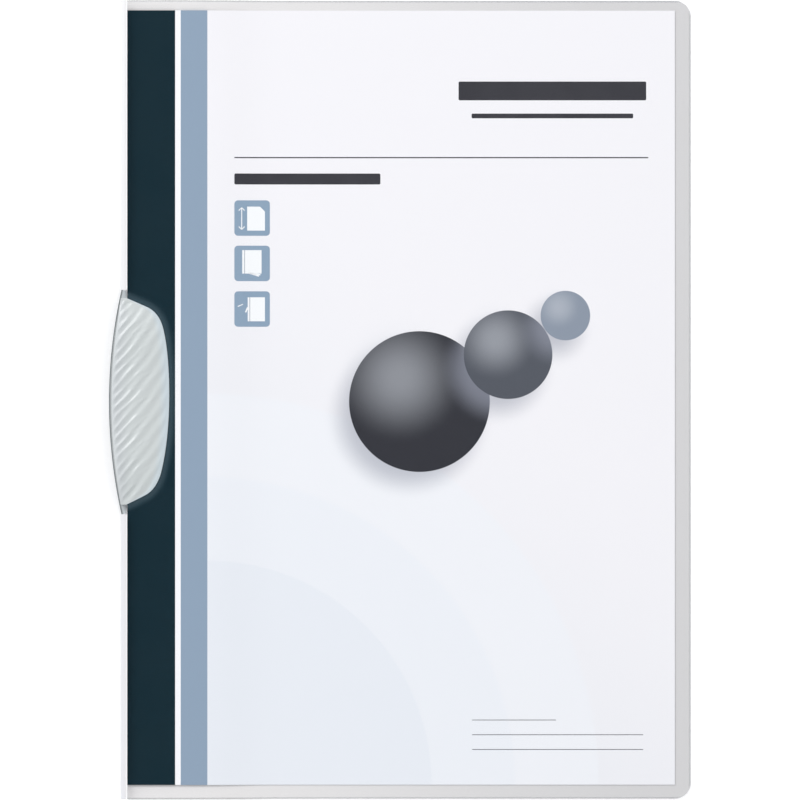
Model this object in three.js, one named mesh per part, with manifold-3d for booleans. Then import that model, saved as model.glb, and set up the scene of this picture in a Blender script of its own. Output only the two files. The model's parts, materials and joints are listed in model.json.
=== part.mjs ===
// A clip folder for A4 sheets, lying closed with its front cover up.
// Millimetres, +Z up, +X towards the open edge, +Y towards the top edge of the sheets.
// The origin is the middle of the underside of the whole folder.
// The folder is one folded film with a narrow round spine. The clip is a leaf-shaped base under the back cover
// and a rippled jaw over the sheets. It swings out of the folder about a flat rivet near its upper tip.

import * as THREE from 'three';
import { mergeVertices } from 'three/addons/utils/BufferGeometryUtils.js';
import Module from 'manifold-3d';

const wasm = await Module();
wasm.setup();

// Driving dimensions of the folder
const folderWidth = 218.5;
const folderHeight = 306;
const cornerRadius = 6;
const filmThickness = 0.4;
const spineHeight = 4.6;
const slotHalfLength = 43;
const slotDepth = 2.1;
const slotCornerRadius = 1;

// Driving dimensions of the printed sheet
const sheetWidth = 210;
const sheetHeight = 297;
const sheetThickness = 0.3;
const sheetFoldMargin = 2.5;
const sheetTopMargin = 3.7;

// Driving dimensions of the clip. Its widths are measured from the fold and its lengths from its middle.
const clipMiddleY = -0.9;
const clipReach = 4.64;
const clipArcRadius = 196;
const baseThickness = 1.2;
const baseDepth = 20.6;
const baseTipRadius = 4.5;
const baseEdgeRounding = 0.2;
const pivotDistance = 45.3;
const baseFlange = 0.5;
const wallThickness = 1.5;
const roofThickness = 1.4;
const lipThickness = 1.2;
const jawEdgeHeight = 0.8;
const jawCrown = 3;
const shoulderRun = 2.6;
const innerRun = 17;
const endRun = 20;
const cavityEndMargin = 4;
const jawTipDepth = 2.2;
const jawDepth = 18.5;
const jawUpperLength = 39.9;
const jawLowerLength = 39.3;

// Driving dimensions of the ripples on the jaw
const fineRipplePitch = 4.1;
const fineRippleHeight = 0.2;
const fineRippleSlope = 0.9;
const broadRipplePitch = 7.4;
const broadRippleHeight = 0.17;
const broadRippleSlope = 1.1;
const rippleMargin = 2;
const fineWander = 0.5;
const fineWanderRun = 9;
const broadWander = 0.8;
const broadWanderRun = 13;

// Driving dimensions of the rivet
const rivetRadius = 1.4;
const rivetHeadRadius = 3;
const rivetHeadThickness = 0.4;

// Clearances
const slideGap = 0.2;
const sheetGap = 0.05;
const gripGap = 0.15;
const rivetGap = 0.1;
const cutOutClearance = 0.7;
const creaseGapCover = 0.25;
const creaseGapSpine = 0.35;

// Where the covers bend down to the table, measured from the fold
const settleStart = 27;
const settleEnd = 62;
const coverSettleEnd = 88;

// Levels, from the table up
const lift = baseThickness + slideGap;
const backTop = lift + filmThickness;
const sheetUnderside = backTop + rivetHeadThickness + sheetGap;
const lipUnderside = sheetUnderside + sheetThickness + gripGap;
const hingeHeight = lift + spineHeight;

// Places seen from above
const foldX = -(folderWidth - clipReach) / 2;
const openEdgeX = foldX + folderWidth;
const spineRadius = spineHeight / 2;
const hingeX = foldX + spineRadius;
const arcCentreX = clipArcRadius - clipReach;
const pivotX = arcCentreX - Math.sqrt((clipArcRadius - baseTipRadius) ** 2 - pivotDistance ** 2);

// Fineness of the curved meshes
const jawRows = 88;
const jawColumns = 24;
const cavityRows = 22;
const cavityColumns = 8;
const roundSegments = 32;

// A closed geometry as a solid that can be joined and cut
function toSolid(geometry) {
  const bare = geometry.clone();
  bare.deleteAttribute('normal');
  bare.deleteAttribute('uv');
  const merged = mergeVertices(bare, 1e-5);
  const mesh = new wasm.Mesh({
    numProp: 3,
    vertProperties: new Float32Array(merged.attributes.position.array),
    triVerts: new Uint32Array(merged.index.array),
  });
  return new wasm.Manifold(mesh);
}

// A solid as a geometry again
function toGeometry(solid) {
  const mesh = solid.getMesh();
  const geometry = new THREE.BufferGeometry();
  geometry.setAttribute('position', new THREE.BufferAttribute(new Float32Array(mesh.vertProperties), 3));
  geometry.setIndex(new THREE.BufferAttribute(new Uint32Array(mesh.triVerts), 1));
  geometry.computeVertexNormals();
  return geometry;
}

// An outline seen from above, as thick as the two heights say
function prism(outline, low, high, rounding = 0) {
  const geometry = new THREE.ExtrudeGeometry(outline, {
    depth: high - low - 2 * rounding,
    curveSegments: roundSegments / 2,
    bevelEnabled: rounding > 0,
    bevelThickness: rounding,
    bevelSize: rounding,
    bevelOffset: -rounding,
    bevelSegments: 2,
  });
  return geometry.translate(0, 0, low + rounding);
}

// A section seen from the lower edge of the folder, drawn out to a length along Y
function drawnAlongY(section, length) {
  const geometry = new THREE.ExtrudeGeometry(section, {
    depth: length,
    curveSegments: roundSegments / 2,
    bevelEnabled: false,
  });
  return geometry.rotateX(Math.PI / 2).translate(0, length / 2, 0);
}

// A round pin, hole or head on an upright axis
function disc(x, y, radius, low, high) {
  const geometry = new THREE.CylinderGeometry(radius, radius, high - low, roundSegments);
  return geometry.rotateX(Math.PI / 2).translate(x, y, (low + high) / 2);
}

// A solid with a curved top over a flat underside. Its sides are two curves of y.
function domedSolid({ rows, columns, low, high, leftAt, rightAt, topAt, underside }) {
  const positions = [];
  const indices = [];
  for (let row = 0; row <= rows; row += 1) {
    const y = low + ((high - low) * row) / rows;
    for (let column = 0; column <= columns; column += 1) {
      const x = THREE.MathUtils.lerp(leftAt(y), rightAt(y), column / columns);
      positions.push(x, y, topAt(x, y));
    }
  }
  const at = (row, column) => row * (columns + 1) + column;
  for (let row = 0; row < rows; row += 1) {
    for (let column = 0; column < columns; column += 1) {
      indices.push(at(row, column), at(row, column + 1), at(row + 1, column + 1));
      indices.push(at(row, column), at(row + 1, column + 1), at(row + 1, column));
    }
  }
  const rim = [];
  for (let column = 0; column < columns; column += 1) rim.push(at(0, column));
  for (let row = 0; row < rows; row += 1) rim.push(at(row, columns));
  for (let column = columns; column > 0; column -= 1) rim.push(at(rows, column));
  for (let row = rows; row > 0; row -= 1) rim.push(at(row, 0));
  const firstLow = positions.length / 3;
  rim.forEach((corner) => positions.push(positions[3 * corner], positions[3 * corner + 1], underside));
  rim.forEach((corner, place) => {
    const next = (place + 1) % rim.length;
    indices.push(firstLow + place, firstLow + next, rim[next]);
    indices.push(firstLow + place, rim[next], corner);
  });
  const contour = rim.map((corner) => new THREE.Vector2(positions[3 * corner], positions[3 * corner + 1]));
  THREE.ShapeUtils.triangulateShape(contour, []).forEach(([a, b, c]) => {
    indices.push(firstLow + c, firstLow + b, firstLow + a);
  });
  const geometry = new THREE.BufferGeometry();
  geometry.setAttribute('position', new THREE.Float32BufferAttribute(positions, 3));
  geometry.setIndex(indices);
  return geometry;
}

// Carries a section's edge from one level to another with a level start and end
function easeTo(section, fromX, fromZ, toX, toZ) {
  const middle = (fromX + toX) / 2;
  section.bezierCurveTo(middle, fromZ, middle, toZ, toX, toZ);
}

// Folder outline seen from above, with round corners at the open edge
function folderOutline(left) {
  const top = folderHeight / 2;
  const outline = new THREE.Shape();
  outline.moveTo(left, -top);
  outline.lineTo(openEdgeX - cornerRadius, -top);
  outline.absarc(openEdgeX - cornerRadius, -top + cornerRadius, cornerRadius, -Math.PI / 2, 0);
  outline.absarc(openEdgeX - cornerRadius, top - cornerRadius, cornerRadius, 0, Math.PI / 2);
  outline.lineTo(left, top);
  return outline;
}

// The slot in the spine that the clip stands in, with small round inner corners
function slotOutline() {
  const inner = foldX + slotDepth;
  const outer = foldX - clipReach;
  const top = clipMiddleY + slotHalfLength;
  const bottom = clipMiddleY - slotHalfLength;
  const outline = new THREE.Shape();
  outline.moveTo(outer, bottom);
  outline.lineTo(inner - slotCornerRadius, bottom);
  outline.absarc(inner - slotCornerRadius, bottom + slotCornerRadius, slotCornerRadius, -Math.PI / 2, 0);
  outline.absarc(inner - slotCornerRadius, top - slotCornerRadius, slotCornerRadius, 0, Math.PI / 2);
  outline.lineTo(outer, top);
  return outline;
}

// Back cover with the spine: it lies on the clip's base, comes down to the table and ends at the open edge
function backCoverSection() {
  const nearX = foldX + settleStart;
  const farX = foldX + settleEnd;
  const centreZ = lift + spineRadius;
  const lipAngle = Math.PI / 2 + Math.asin(creaseGapSpine / (spineRadius - filmThickness / 2));
  const section = new THREE.Shape();
  section.moveTo(openEdgeX, filmThickness);
  section.lineTo(farX, filmThickness);
  easeTo(section, farX, filmThickness, nearX, backTop);
  section.lineTo(hingeX, backTop);
  section.absarc(hingeX, centreZ, spineRadius - filmThickness, -Math.PI / 2, lipAngle - 2 * Math.PI, true);
  section.absarc(hingeX, centreZ, spineRadius, lipAngle, 1.5 * Math.PI);
  section.lineTo(nearX, lift);
  easeTo(section, nearX, lift, farX, 0);
  section.lineTo(openEdgeX, 0);
  return section;
}

function backCover() {
  const whole = toSolid(drawnAlongY(backCoverSection(), folderHeight));
  const outline = toSolid(prism(folderOutline(foldX - clipReach), -1, hingeHeight + spineHeight));
  const slot = toSolid(prism(slotOutline(), -1, hingeHeight + spineHeight));
  const rivetHole = toSolid(disc(foldX + pivotX, clipMiddleY + pivotDistance, rivetRadius + rivetGap, 0, backTop + 1));
  return toGeometry(whole.intersect(outline).subtract(slot).subtract(rivetHole));
}

// Front cover: from the crease at the top of the spine it comes down on the sheet
function frontCoverSection() {
  const nearX = hingeX + creaseGapCover;
  const farX = foldX + coverSettleEnd;
  const nearZ = hingeHeight - filmThickness;
  const farZ = filmThickness + sheetGap + sheetThickness + slideGap;
  const section = new THREE.Shape();
  section.moveTo(openEdgeX, farZ + filmThickness);
  section.lineTo(farX, farZ + filmThickness);
  easeTo(section, farX, farZ + filmThickness, nearX, nearZ + filmThickness);
  section.lineTo(nearX, nearZ);
  easeTo(section, nearX, nearZ, farX, farZ);
  section.lineTo(openEdgeX, farZ);
  return section;
}

// The jaw's edge over the sheets: two nearly straight ends, round corners and a long full curve between them.
// Its points are shares of the jaw's depth and of its length below and above the clip's middle.
function jawInnerCurve() {
  const lower = (across, along) => [across * jawDepth, -along * jawLowerLength];
  const upper = (across, along) => [across * jawDepth, along * jawUpperLength];
  const curve = new THREE.Path();
  curve.moveTo(jawTipDepth, -jawLowerLength);
  curve.lineTo(...lower(0.5, 0.91));
  curve.quadraticCurveTo(...lower(0.71, 0.86), ...lower(0.82, 0.71));
  curve.bezierCurveTo(...lower(1.07, 0.28), ...upper(1.04, 0.43), ...upper(0.87, 0.72));
  curve.quadraticCurveTo(...upper(0.78, 0.87), ...upper(0.51, 0.92));
  curve.lineTo(jawTipDepth, jawUpperLength);
  return curve.getPoints(roundSegments);
}

const jawInnerPoints = jawInnerCurve();
const jawLow = -jawLowerLength;
const jawHigh = jawUpperLength;

// How far from the fold the jaw's inner edge lies at a place along the clip
function jawInnerAt(y) {
  const next = jawInnerPoints.findIndex((point, place) => place > 0 && point.y >= y - 1e-9);
  const from = jawInnerPoints[next - 1];
  const to = jawInnerPoints[next];
  return from.x + ((to.x - from.x) * (y - from.y)) / (to.y - from.y);
}

// How far from the fold the jaw's outer wall lies at a place along the clip
function jawOuterAt(y) {
  return arcCentreX - Math.sqrt((clipArcRadius - baseFlange) ** 2 - y * y);
}

// The smooth roof, highest near the outer wall and lowest at the edge over the sheets
function roofAt(x, y) {
  const fromWall = Math.min((x - jawOuterAt(y)) / shoulderRun, 1);
  const fromEdge = Math.min(Math.max(jawInnerAt(y) - x, 0) / innerRun, 1);
  const fromEnd = Math.min((Math.min(jawHigh - y, y - jawLow) + 1) / endRun, 1);
  const shoulder = Math.sqrt(1 - (1 - Math.max(fromWall, 0)) ** 2);
  const slope = Math.sin((fromEdge * Math.PI) / 2);
  const fall = Math.sin((fromEnd * Math.PI) / 2);
  const crown = jawCrown * (0.25 + 0.75 * shoulder) * slope * fall;
  return lipUnderside + jawEdgeHeight + crown;
}

// Slanting ripples: fine ones by the outer wall, which fade across the jaw, and broad ones in the middle
function rippleAt(x, y) {
  const outer = jawOuterAt(y);
  const inner = jawInnerAt(y);
  const across = (x - outer) / (inner - outer);
  const nearEdge = Math.min(x - outer, inner - x, jawHigh - y, y - jawLow) / rippleMargin;
  const window = THREE.MathUtils.smoothstep(nearEdge, 0.3, 1);
  const fineShift = fineWander * Math.sin(y / fineWanderRun);
  const broadShift = broadWander * Math.sin(y / broadWanderRun + 1);
  const finePhase = (y - fineRippleSlope * x + fineShift) / fineRipplePitch;
  const broadPhase = (y - broadRippleSlope * x + broadShift) / broadRipplePitch;
  const fine = fineRippleHeight * (1 - THREE.MathUtils.smoothstep(across, 0.25, 0.75));
  const broad = broadRippleHeight * THREE.MathUtils.smoothstep(across, 0.1, 0.5);
  return window * (fine * Math.cos(2 * Math.PI * finePhase) + broad * Math.cos(2 * Math.PI * broadPhase));
}

// The upper jaw: a rippled shell over the sheets and a wall that stands on the base along its outer edge
function clipJaw() {
  const shell = toSolid(domedSolid({
    rows: jawRows,
    columns: jawColumns,
    low: jawLow,
    high: jawHigh,
    leftAt: jawOuterAt,
    rightAt: jawInnerAt,
    topAt: (x, y) => roofAt(x, y) + rippleAt(x, y),
    underside: lipUnderside,
  }));
  const cavity = toSolid(domedSolid({
    rows: cavityRows,
    columns: cavityColumns,
    low: jawLow + cavityEndMargin,
    high: jawHigh - cavityEndMargin,
    leftAt: (y) => jawOuterAt(y) + wallThickness,
    rightAt: (y) => jawInnerAt(y) - lipThickness,
    topAt: (x, y) => Math.max(roofAt(x, y) - roofThickness, lipUnderside - gripGap),
    underside: baseThickness,
  }));
  const wall = toSolid(domedSolid({
    rows: jawRows,
    columns: 1,
    low: jawLow,
    high: jawHigh,
    leftAt: jawOuterAt,
    rightAt: (y) => jawOuterAt(y) + wallThickness,
    topAt: () => lipUnderside + jawEdgeHeight / 2,
    underside: baseThickness,
  }));
  return toGeometry(shell.subtract(cavity).add(wall)).translate(foldX, clipMiddleY, 0);
}

// The cut-out of the front cover, which clears the jaw's edge by the same distance all round
function coverCutOut() {
  const outline = new THREE.Shape();
  const last = jawInnerPoints.length - 1;
  const offset = jawInnerPoints.map((point, place) => {
    const before = jawInnerPoints[Math.max(place - 1, 0)];
    const after = jawInnerPoints[Math.min(place + 1, last)];
    const along = new THREE.Vector2().subVectors(after, before).normalize();
    return new THREE.Vector2(point.x + along.y * cutOutClearance, point.y - along.x * cutOutClearance);
  });
  outline.moveTo(-clipReach, offset[0].y - cutOutClearance);
  outline.lineTo(offset[0].x, offset[0].y);
  offset.slice(1).forEach((point) => outline.lineTo(point.x, point.y));
  outline.lineTo(-clipReach, offset[last].y + cutOutClearance);
  return outline;
}

function frontCover() {
  const high = hingeHeight + spineHeight;
  const whole = toSolid(drawnAlongY(frontCoverSection(), folderHeight));
  const outline = toSolid(prism(folderOutline(foldX - clipReach), -1, high));
  const slot = toSolid(prism(slotOutline(), -1, high));
  const cutOut = toSolid(prism(coverCutOut(), -1, high).translate(foldX, clipMiddleY, 0));
  return toGeometry(whole.intersect(outline).subtract(slot).subtract(cutOut));
}

// The printed sheet lies on the back cover and on the rivet's head
function titleSheet() {
  const left = foldX + sheetFoldMargin;
  const right = left + sheetWidth;
  const nearX = foldX + settleStart;
  const farX = foldX + settleEnd;
  const farZ = filmThickness + sheetGap;
  const section = new THREE.Shape();
  section.moveTo(right, farZ + sheetThickness);
  section.lineTo(farX, farZ + sheetThickness);
  easeTo(section, farX, farZ + sheetThickness, nearX, sheetUnderside + sheetThickness);
  section.lineTo(left, sheetUnderside + sheetThickness);
  section.lineTo(left, sheetUnderside);
  section.lineTo(nearX, sheetUnderside);
  easeTo(section, nearX, sheetUnderside, farX, farZ);
  section.lineTo(right, farZ);
  const middleY = folderHeight / 2 - sheetTopMargin - sheetHeight / 2;
  return drawnAlongY(section, sheetHeight).translate(0, middleY, 0);
}

// The leaf: an outer and an inner arc that run into a round tip at each end
function leafOutline() {
  const depth = baseDepth - pivotX;
  const innerRadius = (depth ** 2 + pivotDistance ** 2 - baseTipRadius ** 2) / (2 * (depth - baseTipRadius));
  const innerCentreX = baseDepth - innerRadius;
  const outerAngle = Math.atan2(pivotDistance, pivotX - arcCentreX);
  const innerAngle = Math.atan2(pivotDistance, pivotX - innerCentreX);
  const outline = new THREE.Shape();
  outline.absarc(arcCentreX, 0, clipArcRadius, outerAngle, 2 * Math.PI - outerAngle);
  outline.absarc(pivotX, -pivotDistance, baseTipRadius, -outerAngle, -innerAngle);
  outline.absarc(innerCentreX, 0, innerRadius, -innerAngle, innerAngle);
  outline.absarc(pivotX, pivotDistance, baseTipRadius, innerAngle, outerAngle);
  return outline;
}

// The clip's base: the leaf with a hole for the rivet's shank and a recess for its lower head
function clipBase() {
  const leaf = toSolid(prism(leafOutline(), 0, baseThickness, baseEdgeRounding));
  const hole = toSolid(disc(pivotX, pivotDistance, rivetRadius + rivetGap, -1, baseThickness + 1));
  const recessTop = rivetHeadThickness + 2 * rivetGap;
  const recess = toSolid(disc(pivotX, pivotDistance, rivetHeadRadius + slideGap, -1, recessTop));
  return toGeometry(leaf.subtract(hole).subtract(recess)).translate(foldX, clipMiddleY, 0);
}

// The rivet: a shank with a flat head in the base's recess and another on top of the back cover
function pivotRivet() {
  const top = backTop + rivetHeadThickness;
  const lowerHeadTop = rivetGap + rivetHeadThickness;
  const profile = [
    new THREE.Vector2(0, rivetGap),
    new THREE.Vector2(rivetHeadRadius, rivetGap),
    new THREE.Vector2(rivetHeadRadius, lowerHeadTop),
    new THREE.Vector2(rivetRadius, lowerHeadTop),
    new THREE.Vector2(rivetRadius, backTop),
    new THREE.Vector2(rivetHeadRadius, backTop),
    new THREE.Vector2(rivetHeadRadius, top),
    new THREE.Vector2(0, top),
  ];
  const geometry = new THREE.LatheGeometry(profile, roundSegments).rotateX(Math.PI / 2);
  return geometry.translate(foldX + pivotX, clipMiddleY + pivotDistance, 0);
}

function part(name, geometry, color, roughness, opacity = 1) {
  const material = new THREE.MeshStandardMaterial({ color, roughness, metalness: 0 });
  material.transparent = opacity < 1;
  material.opacity = opacity;
  const mesh = new THREE.Mesh(geometry, material);
  mesh.name = name;
  return mesh;
}

// The folder as it lies closed, and the clip that swings about the rivet
const folder = new THREE.Group();
folder.add(part('back_cover', backCover(), 0xe3e3e4, 0.45));
folder.add(part('title_sheet', titleSheet(), 0xf6f6fa, 0.6));
folder.add(part('pivot_rivet', pivotRivet(), 0xd9dddd, 0.4));
folder.add(part('front_cover', frontCover(), 0xf2f4f6, 0.12, 0.3));

const clip = new THREE.Group();
clip.add(part('clip_base', clipBase(), 0xcdd3d6, 0.5));
clip.add(part('clip_jaw', clipJaw(), 0xd6dcdc, 0.3));

const group = new THREE.Group();
group.add(folder);
group.add(clip);

export default group;
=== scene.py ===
import functools
import json
import math

import bmesh
import bpy
from mathutils import Matrix, Vector


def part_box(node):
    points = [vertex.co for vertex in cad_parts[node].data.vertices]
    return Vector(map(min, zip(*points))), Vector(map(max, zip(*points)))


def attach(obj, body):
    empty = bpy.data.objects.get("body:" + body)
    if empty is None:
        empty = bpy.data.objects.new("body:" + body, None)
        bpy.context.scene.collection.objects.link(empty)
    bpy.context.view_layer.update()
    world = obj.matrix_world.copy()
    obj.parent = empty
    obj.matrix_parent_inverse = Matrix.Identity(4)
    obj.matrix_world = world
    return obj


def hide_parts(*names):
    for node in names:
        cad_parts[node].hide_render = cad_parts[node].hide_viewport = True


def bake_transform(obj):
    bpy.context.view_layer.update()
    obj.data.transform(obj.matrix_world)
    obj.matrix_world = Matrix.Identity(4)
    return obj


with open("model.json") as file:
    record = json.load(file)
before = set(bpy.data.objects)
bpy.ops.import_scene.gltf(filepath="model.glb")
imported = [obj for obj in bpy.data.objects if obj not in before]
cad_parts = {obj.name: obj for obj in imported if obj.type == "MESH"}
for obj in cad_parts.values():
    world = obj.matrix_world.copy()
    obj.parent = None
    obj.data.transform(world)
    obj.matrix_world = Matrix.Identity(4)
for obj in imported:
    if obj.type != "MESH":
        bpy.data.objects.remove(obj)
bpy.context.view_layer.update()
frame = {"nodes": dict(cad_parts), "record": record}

# A closed clip folder for A4 sheets, seen from straight above. Metres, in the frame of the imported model.

MM = 0.001

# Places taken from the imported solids
BACK_LOW, BACK_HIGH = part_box("back_cover")
SHEET_LOW, SHEET_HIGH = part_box("title_sheet")
COVER_LOW, COVER_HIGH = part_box("front_cover")
BASE_LOW, BASE_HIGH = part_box("clip_base")
FOLD_X = BACK_LOW[0]
CLIP_Y = (BASE_LOW[1] + BASE_HIGH[1]) / 2
JOINTS = {joint["name"]: joint for joint in frame["record"]["behaviour"]["joints"]}
HINGE = Vector(JOINTS["cover_hinge"]["pos_m"])

# The camera looks straight down from far away, and the picture is this wide on the folder
PICTURE_WIDTH = 306.96 * MM
PICTURE_CENTRE = (0.1 * MM, -0.1 * MM)
CAMERA_HEIGHT = 2.4
CAMERA_REACH = 20
SENSOR = 36.0

# A large soft lamp from the upper left, and a room that is bright at its sides and dim overhead
LAMP_SIZE = (1.6, 0.9)
LAMP_POWER = 46
LAMP_PLACE = (-1.6, 1.9, 2.0)
ROOM_SIDES = (1.04, 1.05, 1.06, 1)
ROOM_OVERHEAD = (0.15, 0.15, 0.155, 1)
OVERHEAD_FROM, OVERHEAD_FULL = 0.72, 0.96
FLOOR_HALF = 4.0
FLOOR_GLOW = 0.16
WHITE = (1, 1, 1, 1)

# Fields of colour on the sheet, in millimetres from its left and top edges, with their colours
BLUE_BAND_END = 30.66
BANDS = (
    (0.0, 18.32, (0, 35, 46)),
    (18.32, 20.45, (247, 247, 250)),
    (20.45, BLUE_BAND_END, (143, 162, 183)),
)
BAND_BLUR = 0.06
WASH_SLANT = 0.9
WASH_RUN = 230.0
RING_CENTRE = (BLUE_BAND_END, 297.0)
RINGS = ((150.0, (239, 241, 246)), (118.0, (235, 238, 244)), (86.0, (230, 234, 241)))
DISCS = (
    ((112.0, 150.0), 27.0, (50, 51, 58)),
    ((146.0, 132.0), 17.0, (84, 88, 97)),
    ((168.0, 117.0), 9.5, (140, 150, 165)),
)
DISC_SHADOW = (150, 154, 168)
DISC_GLEAM = (206, 210, 218)

# Printed bars, lines and tiles, in millimetres. Each shape is its centre from the sheet's left and top
# edges, its width and height, its turn in degrees and the radius of its corners.
RULE_LEFT, RULE_RIGHT, RULE_DOWN, RULE_THICKNESS = 41.0, 199.8, 56.4, 0.44
PLAIN_BARS = (
    (163.0, 30.8, 72.0, 7.2, 0, 0.5),
    (163.0, 40.4, 62.0, 1.8, 0, 0.4),
    (69.0, 64.6, 56.0, 4.2, 0, 0.5),
)
LINES_LEFT, LINES_TOP, LINE_SPACING, LINE_THICKNESS = 132.2, 272.2, 5.65, 0.24
LINE_ENDS = (164.4, 197.8, 197.8)
TILE_LEFT = 41.0
TILE_SIZE = 13.6
TILE_CORNER = 1.4
TILE_TOPS = (72.8, 90.2, 107.7)
SIGN_CUT_CORNER = 1.9

# How far each layer of ink stands over the paper, in millimetres
FIRST_INK, SECOND_INK, THIRD_INK = 0.012, 0.02, 0.028

# Sizes of the jaw, the same as in the solid, in millimetres from the fold and from the clip's middle
CLIP_REACH = 4.64
ARC_RADIUS = 196.0
FLANGE = 0.5
WALL = 1.5
ROOF = 1.4
SHOULDER_RUN = 2.6
INNER_RUN = 17.0
END_RUN = 20.0
EDGE_HEIGHT = 0.8
CROWN = 3.0
LOWEST_SHARE = 0.25
LIP_UNDERSIDE = 2.7
CUT_CLEARANCE = 0.7
JAW_TIP_DEPTH = 2.2
JAW_DEPTH = 18.5
JAW_TOP = 39.9
JAW_BOTTOM = -39.3
JAW_ROWS, WALL_COLUMNS, ROOF_COLUMNS = 200, 12, 68

# Ripples of the jaw: how high they stand, how far apart they are and how steeply they slant, in millimetres
FINE_HEIGHT, FINE_SPACING, FINE_SLANT = 0.19, 4.1, 1.1
BROAD_HEIGHT, BROAD_SPACING, BROAD_SLANT = 0.2, 7.4, 1.4
SECOND_CREST = 0.22
RIPPLE_MARGIN = 2.0
FADE_RUN = 0.46

# The pressed rim round the cut-out, in millimetres. Its pale colour is a painted sheen, and the strip
# reaches over the cut-out's gap so that the sheen begins by the jaw.
RIM_WIDTH = 3.3
RIM_OVERHANG = 0.5
RIM_STAND = 0.02
RIM_BEAD = 0.12
RIM_BEAD_END = 1.4
RIM_FROM_HINGE = 0.3
RIM_STEPS_ALONG, RIM_STEPS_ACROSS = 180, 10

# The bending strips above and below the slot, in millimetres from the hinge and from the clip's middle
SLOT_HALF = 43.0
CREASE_BEFORE = 0.37
CREASE_AFTER = 0.27
CREASE_THICKNESS = 0.2
CREASE_SINK = 0.1
CREASE_SLOPE = 0.04
CREASE_STEPS_ACROSS, CREASE_STEPS_ALONG = 12, 24

# Where the films come down, in metres, the same as in the solids
FILM = 0.4 * MM
PAPER = 0.3 * MM
SLIDE_GAP = 0.2 * MM
SETTLE_START = FOLD_X + 27 * MM
SETTLE_END = FOLD_X + 62 * MM
COVER_SETTLE_END = FOLD_X + 88 * MM
SETTLE_CUTS = 48
HALVINGS = 30

# The undersides of the three films, from where they start to come down to where they lie flat
BACK_COURSE = ((SETTLE_START, BASE_HIGH[2] + SLIDE_GAP), (SETTLE_END, 0.0))
SHEET_COURSE = ((SETTLE_START, SHEET_HIGH[2] - PAPER), (SETTLE_END, SHEET_LOW[2]))
COVER_COURSE = ((COVER_LOW[0], COVER_HIGH[2] - FILM), (COVER_SETTLE_END, COVER_LOW[2]))

# How much light goes through the back film, and how opaque the clear film is: from straight above, at a
# slant, along its border, on the faces where it was cut, and in the painted sheen of the pressed rim
LIGHT_THROUGH_BACK = 0.75
FILM_ALPHA = 0.012
SHEEN_ALPHA, SHEEN_POWER = 0.7, 5.0
BORDER_ALPHA = 0.24
CUT_FACE_ALPHA = 0.95
RIM_SHEEN_ALPHA = 0.085

# How close vertices are joined, slivers are closed and flat faces are merged in copies of the solids
MERGE_DISTANCE = 1e-6
SLIVER = 5e-6
CUT_DISTANCE = 1e-7
FLAT_ANGLE = math.radians(0.2)
SHARP_ANGLE = math.radians(35)


def srgb(red, green, blue):
    """A colour given as it looks on a screen, from 0 to 255, as the linear values that shaders take."""
    values = [channel / 255 for channel in (red, green, blue)]
    linear = [v / 12.92 if v <= 0.04045 else ((v + 0.055) / 1.055) ** 2.4 for v in values]
    return (*linear, 1.0)


# Node building

def set_input(tree, socket, value):
    """Links a socket to another node's output, or sets its plain value."""
    if isinstance(value, bpy.types.NodeSocket):
        tree.links.new(value, socket)
    else:
        socket.default_value = value


def add_node(tree, kind, inputs=None, **settings):
    node = tree.nodes.new(kind)
    for name, value in settings.items():
        setattr(node, name, value)
    for key, value in (inputs or {}).items():
        set_input(tree, node.inputs[key], value)
    return node


def math_node(tree, operation, a, b=0.0, clamp=False):
    node = add_node(tree, "ShaderNodeMath", {0: a, 1: b}, operation=operation, use_clamp=clamp)
    return node.outputs[0]


def vector_node(tree, operation, a, b, output=0):
    return add_node(tree, "ShaderNodeVectorMath", {0: a, 1: b}, operation=operation).outputs[output]


def split_vector(tree, vector):
    return add_node(tree, "ShaderNodeSeparateXYZ", {0: vector}).outputs


def noise(tree, place, scale, detail):
    inputs = {"Vector": place, "Scale": scale, "Detail": detail}
    return add_node(tree, "ShaderNodeTexNoise", inputs).outputs["Fac"]


def ramp_between(tree, value, low, high, out_low=0.0, out_high=1.0):
    """Carries a value smoothly from one number to another as it passes from low to high."""
    inputs = {"Value": value, "From Min": low, "From Max": high, "To Min": out_low, "To Max": out_high}
    node = add_node(tree, "ShaderNodeMapRange", inputs, interpolation_type="SMOOTHSTEP")
    return node.outputs["Result"]


def cloud_share(tree, value, most=1.0):
    """Turns the slow change of value of a grain into a share, from 0 to the most it may be."""
    return ramp_between(tree, value, 0.35, 0.65, 0.0, most)


def mix_colour(tree, share, first, second):
    node = add_node(tree, "ShaderNodeMix", {"Factor": share, 6: first, 7: second}, data_type="RGBA")
    return node.outputs[2]


def new_group(name, inputs, outputs):
    group = bpy.data.node_groups.new(name, "ShaderNodeTree")
    for label, kind, value in inputs:
        socket = group.interface.new_socket(label, in_out="INPUT", socket_type=kind)
        if value is not None:
            socket.default_value = value
    for label, kind in outputs:
        group.interface.new_socket(label, in_out="OUTPUT", socket_type=kind)
    return group, group.nodes.new("NodeGroupInput").outputs, group.nodes.new("NodeGroupOutput").inputs


def printed_disc_group():
    """A mask of one printed disc, with a sharp or a soft edge."""
    inputs = (
        ("Place", "NodeSocketVector", None),
        ("Centre", "NodeSocketVector", None),
        ("Radius", "NodeSocketFloat", 1.0),
        ("Softness", "NodeSocketFloat", BAND_BLUR),
    )
    group, given, result = new_group("printed_disc", inputs, [("Mask", "NodeSocketFloat")])
    away = vector_node(group, "DISTANCE", given["Place"], given["Centre"], "Value")
    past = math_node(group, "SUBTRACT", away, given["Radius"])
    low = math_node(group, "MULTIPLY", given["Softness"], -1.0)
    group.links.new(ramp_between(group, past, low, given["Softness"], 1.0, 0.0), result["Mask"])
    return group


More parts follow.
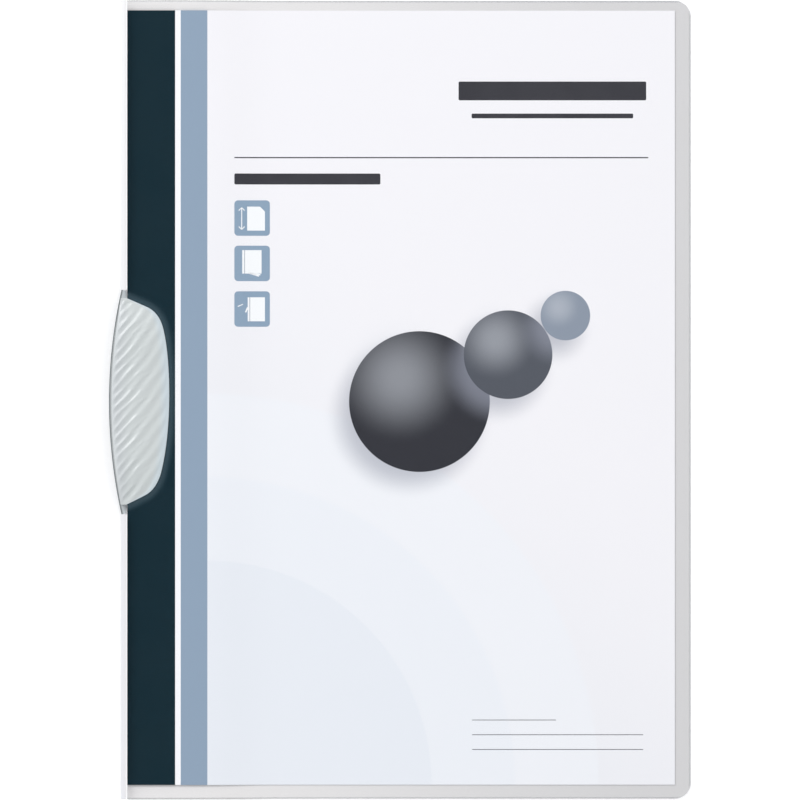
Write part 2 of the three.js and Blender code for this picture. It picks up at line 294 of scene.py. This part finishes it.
def fine_grain_group():
    """Fine unevenness of moulded and rolled plastic: a height and a slow change of value."""
    inputs = (("Place", "NodeSocketVector", None), ("Scale", "NodeSocketFloat", 900.0))
    outputs = (("Height", "NodeSocketFloat"), ("Value", "NodeSocketFloat"))
    group, given, result = new_group("fine_grain", inputs, outputs)
    wide_scale = math_node(group, "MULTIPLY", given["Scale"], 0.03)
    group.links.new(noise(group, given["Place"], given["Scale"], 0.0), result["Height"])
    group.links.new(noise(group, given["Place"], wide_scale, 1.0), result["Value"])
    return group


PRINTED_DISC = printed_disc_group()
FINE_GRAIN = fine_grain_group()
GRAIN_DEPTH = 0.02 * MM


def new_material(name, **values):
    """A material with one Principled shader, that shader's inputs, and places in the part's own frame."""
    material = bpy.data.materials.new(name)
    material.use_nodes = True
    tree = material.node_tree
    tree.nodes.clear()
    output = tree.nodes.new("ShaderNodeOutputMaterial")
    shader = tree.nodes.new("ShaderNodeBsdfPrincipled")
    tree.links.new(shader.outputs["BSDF"], output.inputs["Surface"])
    for socket, value in values.items():
        shader.inputs[socket.replace("_", " ")].default_value = value
    place = tree.nodes.new("ShaderNodeTexCoord").outputs["Object"]
    return material, tree, shader.inputs, place


def add_grain(tree, shader, place, scale, strength, roughness, spread):
    """Fine bumps and uneven gloss on a shader. Returns the slow change of value, for the colour."""
    grain = add_node(tree, "ShaderNodeGroup", node_tree=FINE_GRAIN)
    set_input(tree, grain.inputs["Place"], place)
    set_input(tree, grain.inputs["Scale"], scale)
    height, value = grain.outputs["Height"], grain.outputs["Value"]
    inputs = {"Strength": strength, "Distance": GRAIN_DEPTH, "Height": height}
    bump = add_node(tree, "ShaderNodeBump", inputs)
    tree.links.new(bump.outputs["Normal"], shader["Normal"])
    gloss = ramp_between(tree, value, 0.3, 0.7, roughness - spread, roughness + spread)
    tree.links.new(gloss, shader["Roughness"])
    return value


def read_across(tree):
    """How far a place lies from one edge of its piece to the other, kept on the piece's own vertices."""
    return add_node(tree, "ShaderNodeAttribute", attribute_name="across").outputs["Fac"]


# Materials

def back_film_material():
    """Translucent grey-white film, lighter by the fold. Part of the light goes through it."""
    material, tree, shader, place = new_material("back_film")
    value = add_grain(tree, shader, place, scale=1500.0, strength=0.25, roughness=0.42, spread=0.05)
    x, y, _ = split_vector(tree, place)
    spine_colour_end, cover_colour_start = FOLD_X + 0.8 * MM, FOLD_X + 3.2 * MM
    from_fold = ramp_between(tree, x, FOLD_X + 3 * MM, BACK_HIGH[0])
    ground = mix_colour(tree, from_fold, srgb(233, 231, 231), srgb(213, 212, 213))
    up_spine = ramp_between(tree, y, BACK_LOW[1] / 2, BACK_HIGH[1])
    spine = mix_colour(tree, up_spine, srgb(221, 221, 225), srgb(232, 232, 233))
    near_fold = ramp_between(tree, x, spine_colour_end, cover_colour_start, 1.0, 0.0)
    plain = mix_colour(tree, near_fold, ground, spine)
    clouds = ramp_between(tree, value, 0.3, 0.7, 0.0, 0.05)
    tree.links.new(mix_colour(tree, clouds, plain, srgb(200, 202, 206)), shader["Base Color"])
    path = tree.nodes.new("ShaderNodeLightPath")
    passed = math_node(tree, "MULTIPLY", path.outputs["Is Shadow Ray"], LIGHT_THROUGH_BACK)
    tree.links.new(math_node(tree, "SUBTRACT", 1.0, passed), shader["Alpha"])
    return material


def crease_highlight_material():
    """The thinned film of the crease, coloured near white as a painted highlight along the fold."""
    material, tree, shader, place = new_material("crease_film")
    value = add_grain(tree, shader, place, scale=1500.0, strength=0.25, roughness=0.42, spread=0.05)
    # Painted highlight: near-white colour that stands in for the light along the rounded fold
    white = mix_colour(tree, cloud_share(tree, value), srgb(246, 246, 248), srgb(250, 250, 251))
    tree.links.new(white, shader["Base Color"])
    return material


def clear_film_material():
    """Clear film: almost nothing from straight above, a soft gloss at a slant, and greyer cut edges."""
    material, tree, shader, place = new_material("clear_film", IOR=1.45)
    shine = noise(tree, place, 9.0, 0.0)
    tree.links.new(ramp_between(tree, shine, 0.3, 0.7, 0.09, 0.15), shader["Roughness"])

    # Greyer along the open edge and the ends, and darkest on the upright faces where the film was cut
    x, y, _ = split_vector(tree, place)
    from_open_edge = math_node(tree, "SUBTRACT", COVER_HIGH[0], x)
    from_ends = math_node(tree, "SUBTRACT", COVER_HIGH[1], math_node(tree, "ABSOLUTE", y))
    from_edge = math_node(tree, "MINIMUM", from_open_edge, from_ends)
    border = ramp_between(tree, from_edge, 0.1 * MM, 0.9 * MM, BORDER_ALPHA, 0.0)
    normal = split_vector(tree, tree.nodes.new("ShaderNodeTexCoord").outputs["Normal"])
    cut_face = ramp_between(tree, math_node(tree, "ABSOLUTE", normal[2]), 0.3, 0.7, CUT_FACE_ALPHA, 0.0)
    edge = math_node(tree, "MAXIMUM", border, cut_face)

    slant = add_node(tree, "ShaderNodeLayerWeight", {"Blend": 0.5}).outputs["Facing"]
    sheen = math_node(tree, "MULTIPLY", math_node(tree, "POWER", slant, SHEEN_POWER), SHEEN_ALPHA)
    gloss = math_node(tree, "ADD", sheen, FILM_ALPHA)
    tree.links.new(math_node(tree, "ADD", gloss, edge, clamp=True), shader["Alpha"])
    tree.links.new(ramp_between(tree, edge, 0.0, 0.1, 1.0, 0.0), shader["Metallic"])
    tint = mix_colour(tree, ramp_between(tree, edge, 0.0, 0.1), srgb(236, 240, 244), srgb(140, 146, 150))
    tree.links.new(mix_colour(tree, cut_face, tint, srgb(58, 64, 68)), shader["Base Color"])
    return material


def rim_sheen_material():
    """The pressed rim round the cut-out: a painted pale sheen, strongest by the jaw and clearest where it
    runs out into the cover.
    """
    material, tree, shader, _ = new_material("pressed_rim_painted_sheen", Base_Color=srgb(168, 200, 216), Roughness=0.35)
    tree.links.new(ramp_between(tree, read_across(tree), 0.05, 1.0, RIM_SHEEN_ALPHA, 0.0), shader["Alpha"])
    return material


def jaw_material():
    """Milky plastic with a satin gloss, with painted shade at its outer rim, and cooler at its edge over
    the sheets.
    """
    material, tree, shader, place = new_material("milky_satin", IOR=1.46)
    value = add_grain(tree, shader, place, scale=700.0, strength=0.05, roughness=0.3, spread=0.04)
    across = read_across(tree)
    # Painted shade: the darkest grey at the outermost edge stands in for the shadowed side of the wall
    colour = srgb(126, 130, 132)
    for low, high, next_colour in (
        (0.01, 0.04, (198, 202, 204)),
        (0.1, 0.4, (205, 210, 210)),
        (0.8, 0.97, (202, 213, 219)),
    ):
        colour = mix_colour(tree, ramp_between(tree, across, low, high), colour, srgb(*next_colour))
    clouded = mix_colour(tree, cloud_share(tree, value, 0.08), colour, srgb(190, 200, 200))
    tree.links.new(clouded, shader["Base Color"])
    return material


def base_material():
    """The same plastic with the fine matt finish of the clip's base, with painted shade along its outer
    rim.
    """
    material, tree, shader, place = new_material("milky_matt", IOR=1.46)
    value = add_grain(tree, shader, place, scale=1800.0, strength=0.5, roughness=0.5, spread=0.05)
    milky = mix_colour(tree, cloud_share(tree, value), srgb(192, 198, 201), srgb(201, 206, 209))
    # Painted shade: a dark grey band along the leaf's outer rim, where the wall's side is in shadow
    arc_centre = (FOLD_X + (ARC_RADIUS - CLIP_REACH) * MM, CLIP_Y, BASE_HIGH[2] / 2)
    from_centre = vector_node(tree, "DISTANCE", place, arc_centre, "Value")
    rim = ramp_between(tree, from_centre, (ARC_RADIUS - 0.9) * MM, (ARC_RADIUS - 0.3) * MM)
    tree.links.new(mix_colour(tree, rim, milky, srgb(112, 118, 120)), shader["Base Color"])
    return material


def rivet_material():
    """Smooth milky plastic, a little clouded."""
    material, tree, shader, place = new_material("rivet_plastic", IOR=1.46)
    value = add_grain(tree, shader, place, scale=900.0, strength=0.08, roughness=0.35, spread=0.05)
    milky = mix_colour(tree, cloud_share(tree, value), srgb(212, 216, 217), srgb(222, 225, 226))
    tree.links.new(milky, shader["Base Color"])
    return material


def new_paper(name):
    """A material with the smooth finish of the paper. Also returns its slow change of value."""
    material, tree, shader, place = new_material(name, IOR=1.4, Specular_IOR_Level=0.25)
    value = add_grain(tree, shader, place, scale=2200.0, strength=0.1, roughness=0.55, spread=0.04)
    return material, tree, shader, place, value


def sheet_material():
    """Smooth paper with printed fields: bands along the fold, pale rings and shaded discs."""
    material, tree, shader, place, _ = new_paper("printed_sheet")
    corner = Vector((SHEET_LOW[0], SHEET_HIGH[1], 0))
    from_corner = vector_node(tree, "SUBTRACT", place, corner)
    scaled = vector_node(tree, "MULTIPLY", from_corner, (1 / MM, -1 / MM, 0))
    x, y, _ = split_vector(tree, scaled)

    def lay_disc(colour, centre, radius, ink, softness=BAND_BLUR, share=1.0):
        disc = add_node(tree, "ShaderNodeGroup", node_tree=PRINTED_DISC)
        given = {"Place": scaled, "Centre": (*centre, 0), "Radius": radius, "Softness": softness}
        for label, value in given.items():
            set_input(tree, disc.inputs[label], value)
        mask = disc.outputs["Mask"]
        if share < 1.0:
            mask = math_node(tree, "MULTIPLY", mask, share)
        return mix_colour(tree, mask, colour, srgb(*ink))

    # Ground: white, with a pale lavender wash towards the lower left
    slanted = math_node(tree, "SUBTRACT", y, math_node(tree, "MULTIPLY", x, WASH_SLANT))
    wash = ramp_between(tree, slanted, 0.0, WASH_RUN)
    colour = mix_colour(tree, wash, srgb(242, 241, 245), srgb(233, 235, 240))

    # Three wide pale rings that rise from the lower left
    for radius, ink in RINGS:
        colour = lay_disc(colour, RING_CENTRE, radius, ink, 0.5, 0.8)

    # Discs, each with a soft shadow to its lower left and a soft gleam to its upper left
    for (across, down), radius, ink in DISCS:
        colour = lay_disc(colour, (across - 4.0, down + 5.0), radius, DISC_SHADOW, 6.0, 0.6)
        colour = lay_disc(colour, (across, down), radius, ink)
        gleam = (across - radius * 0.28, down - radius * 0.34)
        colour = lay_disc(colour, gleam, radius * 0.5, DISC_GLEAM, radius * 0.45, 0.4)

    # Bands along the fold
    for start, end, ink in BANDS:
        inside = ramp_between(tree, x, end - BAND_BLUR, end + BAND_BLUR, 1.0, 0.0)
        if start > 0:
            after = ramp_between(tree, x, start - BAND_BLUR, start + BAND_BLUR)
            inside = math_node(tree, "MULTIPLY", after, inside)
        colour = mix_colour(tree, inside, colour, srgb(*ink))
    tree.links.new(colour, shader["Base Color"])
    return material


def ink_material(name, ink, worn):
    """Printed ink, a little uneven, with the paper's finish."""
    material, tree, shader, _, value = new_paper(name)
    uneven = mix_colour(tree, cloud_share(tree, value, 0.03), srgb(*ink), srgb(*worn))
    tree.links.new(uneven, shader["Base Color"])
    return material


def floor_material():
    """A pale floor that the camera sees as white, with the folder's soft shadow on it."""
    material, tree, shader, _ = new_material("floor", Base_Color=srgb(244, 244, 245), Roughness=0.8)
    shader["Emission Color"].default_value = WHITE
    path = tree.nodes.new("ShaderNodeLightPath").outputs
    seen = math_node(tree, "MAXIMUM", path["Is Camera Ray"], path["Is Transmission Ray"])
    tree.links.new(math_node(tree, "MULTIPLY", seen, FLOOR_GLOW), shader["Emission Strength"])
    return material


# Pieces

def finished_object(name, shape, material, body=None):
    """Makes a piece from a bmesh, smooth but for its sharp edges, and lets it ride on a body."""
    mesh = bpy.data.meshes.new(name)
    shape.to_mesh(mesh)
    shape.free()
    mesh.materials.append(material)
    mesh.shade_smooth()
    mesh.set_sharp_from_angle(angle=SHARP_ANGLE)
    piece = bpy.data.objects.new(name, mesh)
    bpy.context.scene.collection.objects.link(piece)
    if body:
        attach(piece, body)
    return piece


def settled_level(x, start, end):
    """The level of a film at x, where it comes down from one place to another with a level start and end.

    The film's curve goes by one number from 0 to 1, which is found by halving from how far along x lies.
    """
    share = min(max((x - start[0]) / (end[0] - start[0]), 0.0), 1.0)
    low, high = 0.0, 1.0
    for _ in range(HALVINGS):
        middle = (low + high) / 2
        if 1.5 * middle - 1.5 * middle ** 2 + middle ** 3 < share:
            low = middle
        else:
            high = middle
    return start[1] + (end[1] - start[1]) * (3 * low ** 2 - 2 * low ** 3)


def cut_along(shape, course):
    """Cuts a shape at close places along a film's curve, so that it can follow the curve."""
    (start, _), (end, _) = course
    for cut in range(SETTLE_CUTS + 1):
        everything = shape.verts[:] + shape.edges[:] + shape.faces[:]
        place = (start + (end - start) * cut / SETTLE_CUTS, 0, 0)
        bmesh.ops.bisect_plane(
            shape, geom=everything, dist=CUT_DISTANCE, plane_co=place, plane_no=(1, 0, 0)
        )


def merged_copy(node, name, material, body, course=None, thickness=0.0):
    """The node's own shape with its vertices joined, so that curved stretches are shaded smoothly.

    A film has closer cuts along its course, where its vertices are set on the true curve.
    """
    shape = bmesh.new()
    shape.from_mesh(frame["nodes"][node].data)
    bmesh.ops.remove_doubles(shape, verts=shape.verts[:], dist=MERGE_DISTANCE)
    if course:
        bmesh.ops.dissolve_degenerate(shape, edges=shape.edges[:], dist=SLIVER)
        bmesh.ops.dissolve_limit(
            shape, angle_limit=FLAT_ANGLE, verts=shape.verts[:], edges=shape.edges[:]
        )
        cut_along(shape, course)
        for vert in shape.verts:
            if course[0][0] < vert.co.x < course[1][0]:
                under = settled_level(vert.co.x, *course)
                vert.co.z = under + (thickness if vert.co.z > under + thickness / 2 else 0.0)
    piece = finished_object(name, shape, material, body)
    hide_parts(node)
    return piece


def printed_piece(name, material, stand, rectangles, cut_corner=None):
    """Flat printed rectangles that follow the sheet, as one thin piece.

    With a cut corner, the upper right corner of the first is cut straight instead of rounded.
    """
    shape = bmesh.new()
    for place, (x, y, width, height, turn, corner) in enumerate(rectangles):
        centre = Matrix.Translation((SHEET_LOW[0] + x * MM, SHEET_HIGH[1] - y * MM, 0))
        size = Matrix.Diagonal((width * MM, height * MM, 1, 1))
        matrix = centre @ Matrix.Rotation(math.radians(turn), 4, "Z") @ size
        made = bmesh.ops.create_grid(shape, x_segments=1, y_segments=1, size=0.5, matrix=matrix)["verts"]
        if cut_corner and place == 0:
            made = [max(made, key=lambda vert: vert.co.x + vert.co.y)]
            bmesh.ops.bevel(shape, geom=made, offset=cut_corner * MM, segments=1, affect="VERTICES")
        elif corner:
            bmesh.ops.bevel(
                shape, geom=made, offset=corner * MM, segments=5, profile=0.5, affect="VERTICES"
            )
    cut_along(shape, SHEET_COURSE)
    for vert in shape.verts:
        vert.co.z = settled_level(vert.co.x, *SHEET_COURSE) + PAPER + stand * MM
    return finished_object(name, shape, material, "folder")


def span(left, right, down, thickness, corner):
    """A printed line given by its ends."""
    return (left + right) / 2, down, right - left, thickness, 0, corner


def print_bars():
    """The rule, the plain bars and the three thin lines."""
    bars = [span(RULE_LEFT, RULE_RIGHT, RULE_DOWN, RULE_THICKNESS, 0.1), *PLAIN_BARS]
    for line, end in enumerate(LINE_ENDS):
        bars.append(span(LINES_LEFT, end, LINES_TOP + LINE_SPACING * line, LINE_THICKNESS, 0.08))
    dark_ink = ink_material("dark_ink", (58, 58, 64), (120, 120, 126))
    printed_piece("printed_bars", dark_ink, FIRST_INK, bars)


def print_tiles():
    """Three tiles with plain signs: a sheet with its height, a pile of sheets, and a folder that opens."""
    middle = TILE_LEFT + TILE_SIZE / 2
    tiles = [(middle, top + TILE_SIZE / 2, TILE_SIZE, TILE_SIZE, 0, TILE_CORNER) for top in TILE_TOPS]
    blue_ink = ink_material("blue_ink", (140, 162, 184), (200, 210, 222))
    printed_piece("printed_tiles", blue_ink, FIRST_INK, tiles)

    left = TILE_LEFT
    first, second, third = TILE_TOPS
    arrow_x, arrow_y = left + 2.8, first + 7.0
    signs = [(left + 8.3, first + 7.0, 6.8, 9.2, 0, 0.1), (arrow_x, arrow_y, 0.36, 8.0, 0, 0.1)]
    for end in (-1, 1):
        for side in (-1, 1):
            signs.append((arrow_x + 0.55 * side, arrow_y + 3.65 * end, 1.7, 0.34, 45 * side * end, 0.1))
    signs += [
        (left + 6.7, second + 6.2, 7.4, 9.0, 0, 0.1),
        (left + 7.6, second + 11.1, 3.8, 0.5, -17, 0.1),
        (left + 8.1, second + 10.9, 3.8, 0.5, -8, 0.1),
        (left + 8.4, third + 6.9, 6.6, 9.2, 0, 0.1),
        (left + 4.7, third + 7.1, 0.55, 2.2, -22, 0.2),
        (left + 2.3, third + 5.4, 2.2, 0.34, 24, 0.1),
    ]
    white_ink = ink_material("white_ink", (246, 248, 250), (226, 232, 240))
    printed_piece("printed_signs", white_ink, SECOND_INK, signs, SIGN_CUT_CORNER)

    folds = [(left + 3.9, second + 6.2, 0.3, 9.0, 0, 0), (left + 5.9, third + 6.9, 0.3, 9.2, 0, 0)]
    grey_ink = ink_material("grey_ink", (178, 184, 194), (220, 226, 234))
    printed_piece("printed_fold_lines", grey_ink, THIRD_INK, folds)


def bezier(points, t):
    """A point on a curve of any degree, by its control points."""
    while len(points) > 1:
        points = [a + (b - a) * t for a, b in zip(points, points[1:])]
    return points[0]


def jaw_inner_curve(steps=48):
    """The jaw's edge over the sheets, from its lower to its upper tip, as in the solid."""
    def lower(across, along):
        return Vector((across * JAW_DEPTH, along * JAW_BOTTOM))

    def upper(across, along):
        return Vector((across * JAW_DEPTH, along * JAW_TOP))

    stretches = (
        (Vector((JAW_TIP_DEPTH, JAW_BOTTOM)), lower(0.5, 0.91)),
        (lower(0.5, 0.91), lower(0.71, 0.86), lower(0.82, 0.71)),
        (lower(0.82, 0.71), lower(1.07, 0.28), upper(1.04, 0.43), upper(0.87, 0.72)),
        (upper(0.87, 0.72), upper(0.78, 0.87), upper(0.51, 0.92)),
        (upper(0.51, 0.92), Vector((JAW_TIP_DEPTH, JAW_TOP))),
    )
    points = []
    for stretch in stretches:
        points += [bezier(stretch, step / steps) for step in range(steps)]
    return points + [stretches[-1][-1]]


INNER_CURVE = jaw_inner_curve()


@functools.lru_cache(maxsize=None)
def inner_at(y):
    """How far the jaw's inner edge lies from the fold, in millimetres."""
    for low, high in zip(INNER_CURVE, INNER_CURVE[1:]):
        if y <= high.y:
            return low.x + (high.x - low.x) * (y - low.y) / (high.y - low.y)
    return INNER_CURVE[-1].x


def outer_at(y):
    """How far the jaw's outer wall lies from the fold, in millimetres."""
    return ARC_RADIUS - CLIP_REACH - math.sqrt((ARC_RADIUS - FLANGE) ** 2 - y * y)


def smooth_share(value, low, high):
    """Goes smoothly from 0 to 1 as a value passes from low to high."""
    t = min(max((value - low) / (high - low), 0.0), 1.0)
    return t * t * (3 - 2 * t)


def roof_height(x, y, outer, inner):
    """The jaw's smooth top, as in the solid, in millimetres."""
    from_wall = min(max((x - outer) / SHOULDER_RUN, 0.0), 1.0)
    from_edge = min(max(inner - x, 0.0) / INNER_RUN, 1.0)
    from_end = min((min(JAW_TOP - y, y - JAW_BOTTOM) + 1) / END_RUN, 1.0)
    shoulder = LOWEST_SHARE + (1 - LOWEST_SHARE) * math.sqrt(1 - (1 - from_wall) ** 2)
    rise = shoulder * math.sin(from_edge * math.pi / 2) * math.sin(from_end * math.pi / 2)
    return LIP_UNDERSIDE + EDGE_HEIGHT + CROWN * rise


def ripple_height(x, y, outer, inner):
    """Slanting ripples as in the solid, in millimetres. Their crests wander and end unevenly."""
    across = (x - outer) / (inner - outer)
    from_edge = min(x - outer, inner - x, JAW_TOP - y, y - JAW_BOTTOM) / RIPPLE_MARGIN
    window = smooth_share(from_edge, 0.3, 1.0)
    wander = 0.2 * math.sin(0.37 * y + 0.19 * x) + 0.12 * math.sin(0.83 * y - 0.31 * x + 2)
    fine_line = y - FINE_SLANT * x + 0.5 * math.sin(y / 9) + wander
    broad_line = y - BROAD_SLANT * x + 0.8 * math.sin(y / 13 + 1) + wander
    fine_phase = 2 * math.pi * fine_line / FINE_SPACING
    broad_phase = 2 * math.pi * broad_line / BROAD_SPACING

    # Each fine ripple reaches its own way across the jaw and stands a little higher or lower
    reach = 0.74 + 0.12 * math.sin(0.71 * y + 0.5) + 0.08 * math.sin(1.9 * y)
    swell = 0.96 + 0.14 * math.sin(0.46 * y + 1.3)
    crest = math.cos(fine_phase) + SECOND_CREST * math.cos(2 * fine_phase)
    fine = FINE_HEIGHT * swell * (1 - smooth_share(across, reach - FADE_RUN, reach)) * crest
    broad = BROAD_HEIGHT * smooth_share(across, 0.1, 0.5) * math.cos(broad_phase)
    return window * (fine + broad)


def clip_jaw():
    """The rippled jaw: one grid for its top, drawn down to its underside and to the wall's foot."""
    columns = WALL_COLUMNS + ROOF_COLUMNS
    wall_foot = BASE_HIGH[2] / MM
    shape = bmesh.new()
    across_layer = shape.verts.layers.float.new("across")
    bmesh.ops.create_grid(shape, x_segments=columns, y_segments=JAW_ROWS, size=0.5)
    drawn = bmesh.ops.extrude_face_region(shape, geom=shape.faces[:])
    top = {item for item in drawn["geom"] if isinstance(item, bmesh.types.BMVert)}
    for vert in shape.verts:
        column = round((vert.co.x + 0.5) * columns)
        y = JAW_BOTTOM + (JAW_TOP - JAW_BOTTOM) * (vert.co.y + 0.5)
        outer, inner = outer_at(y), inner_at(y)
        if column <= WALL_COLUMNS:
            x = outer + WALL * column / WALL_COLUMNS
        else:
            x = outer + WALL + (inner - outer - WALL) * (column - WALL_COLUMNS) / ROOF_COLUMNS
        height = roof_height(x, y, outer, inner)
        if vert in top:
            z = height + ripple_height(x, y, outer, inner)
        elif column <= WALL_COLUMNS:
            z = wall_foot
        else:
            z = max(LIP_UNDERSIDE, height - ROOF)
        vert[across_layer] = (x - outer) / (inner - outer)
        vert.co = (FOLD_X + x * MM, CLIP_Y + y * MM, z * MM)
    bmesh.ops.recalc_face_normals(shape, faces=shape.faces[:])
    piece = finished_object("jaw_shell", shape, jaw_material(), "clip")
    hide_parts("clip_jaw")
    return piece


def cut_out_rim():
    """The pressed rim that runs round the cover's cut-out, a strip that lies on the cover and carries the
    painted sheen.
    """
    curve = INNER_CURVE[::2]
    last = len(curve) - 1
    shape = bmesh.new()
    across_layer = shape.verts.layers.float.new("across")
    bmesh.ops.create_grid(shape, x_segments=RIM_STEPS_ALONG, y_segments=RIM_STEPS_ACROSS, size=0.5)
    for vert in shape.verts:
        position = (vert.co.x + 0.5) * last
        place = min(int(position), last - 1)
        here = curve[place].lerp(curve[place + 1], position - place)
        before = curve[max(place - 1, 0)]
        after = curve[min(place + 2, last)]
        along = (after - before).normalized()
        share = vert.co.y + 0.5
        # The strip starts over the gap by the jaw, so that the painted sheen begins at the jaw's edge
        distance = CUT_CLEARANCE - RIM_OVERHANG + RIM_WIDTH * share
        x = max(FOLD_X + (here.x + along.y * distance) * MM, HINGE.x + RIM_FROM_HINGE * MM)
        y = CLIP_Y + (here.y - along.x * distance) * MM
        bead = RIM_BEAD * math.sin(math.pi * min(share * RIM_BEAD_END, 1.0))
        height = settled_level(x, *COVER_COURSE) + FILM
        vert[across_layer] = share
        vert.co = (x, y, height + (RIM_STAND + bead) * MM)
    bmesh.ops.recalc_face_normals(shape, faces=shape.faces[:])
    return finished_object("cut_out_rim", shape, rim_sheen_material(), "cover")


def crease_film(name, low_y, high_y, material):
    """The thin bending strip between the spine and the front cover."""
    start_x = HINGE.x - CREASE_BEFORE * MM
    end_x = HINGE.x + CREASE_AFTER * MM
    shape = bmesh.new()
    bmesh.ops.create_grid(
        shape, x_segments=CREASE_STEPS_ACROSS, y_segments=CREASE_STEPS_ALONG, size=0.5
    )
    for vert in shape.verts:
        share = vert.co.x + 0.5
        x = start_x + (end_x - start_x) * share
        y = low_y + (high_y - low_y) * (vert.co.y + 0.5)
        vert.co = (x, y, HINGE.z - (CREASE_SINK + CREASE_SLOPE * (1 - share)) * MM)
    bmesh.ops.solidify(shape, geom=shape.faces[:], thickness=CREASE_THICKNESS * MM)
    bmesh.ops.recalc_face_normals(shape, faces=shape.faces[:])
    piece = finished_object(name, shape, material)
    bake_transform(piece)
    return piece


# Stage

def lay_floor():
    shape = bmesh.new()
    bmesh.ops.create_grid(shape, x_segments=1, y_segments=1, size=FLOOR_HALF)
    floor = finished_object("floor", shape, floor_material())


def set_camera():
    camera = bpy.data.objects.new("camera", bpy.data.cameras.new("camera"))
    bpy.context.scene.collection.objects.link(camera)
    camera.location = (*PICTURE_CENTRE, CAMERA_HEIGHT)
    camera.data.sensor_width = SENSOR
    camera.data.lens = SENSOR * (CAMERA_HEIGHT - COVER_LOW[2]) / PICTURE_WIDTH
    camera.data.clip_end = CAMERA_REACH
    bpy.context.scene.camera = camera


def set_light():
    """One large soft lamp, and a world that the camera sees as white."""
    lamp = bpy.data.objects.new("key", bpy.data.lights.new("key", "AREA"))
    bpy.context.scene.collection.objects.link(lamp)
    lamp.data.shape = "RECTANGLE"
    lamp.data.size, lamp.data.size_y = LAMP_SIZE
    lamp.data.energy = LAMP_POWER
    lamp.location = LAMP_PLACE
    lamp.rotation_euler = Vector(LAMP_PLACE).to_track_quat("Z", "Y").to_euler()

    world = bpy.data.worlds.new("studio")
    bpy.context.scene.world = world
    world.use_nodes = True
    tree = world.node_tree
    tree.nodes.clear()
    up = split_vector(tree, tree.nodes.new("ShaderNodeTexCoord").outputs["Generated"])[2]
    height = ramp_between(tree, up, OVERHEAD_FROM, OVERHEAD_FULL)
    colour = mix_colour(tree, height, ROOM_SIDES, ROOM_OVERHEAD)
    path = tree.nodes.new("ShaderNodeLightPath")
    seen = mix_colour(tree, path.outputs["Is Camera Ray"], colour, WHITE)
    background = add_node(tree, "ShaderNodeBackground", {"Color": seen, "Strength": 1.0})
    output = tree.nodes.new("ShaderNodeOutputWorld")
    tree.links.new(background.outputs[0], output.inputs["Surface"])
    bpy.context.scene.view_settings.view_transform = "Standard"


lay_floor()
set_camera()
set_light()

BACK_FILM = back_film_material()
CLEAR_FILM = clear_film_material()
CREASE_PAINTED_HIGHLIGHT = crease_highlight_material()
merged_copy("back_cover", "back_film_and_spine", BACK_FILM, "folder", BACK_COURSE, FILM)
clear_pieces = [
    merged_copy("front_cover", "cover_film", CLEAR_FILM, "cover", COVER_COURSE, FILM)
]
merged_copy("title_sheet", "printed_sheet", sheet_material(), "folder", SHEET_COURSE, PAPER)
print_bars()
print_tiles()
merged_copy("clip_base", "clip_leaf", base_material(), "clip")
merged_copy("pivot_rivet", "rivet_body", rivet_material(), "folder")
clip_jaw()
clear_pieces.append(cut_out_rim())
slot_top, slot_bottom = CLIP_Y + SLOT_HALF * MM, CLIP_Y - SLOT_HALF * MM
clear_pieces.append(crease_film("crease_upper", slot_top, BACK_HIGH[1], CREASE_PAINTED_HIGHLIGHT))
clear_pieces.append(crease_film("crease_lower", BACK_LOW[1], slot_bottom, CREASE_PAINTED_HIGHLIGHT))

# Thin clear film lets soft light through as if it weren't there
for clear in clear_pieces:
    clear.visible_shadow = False
    clear.visible_diffuse = False
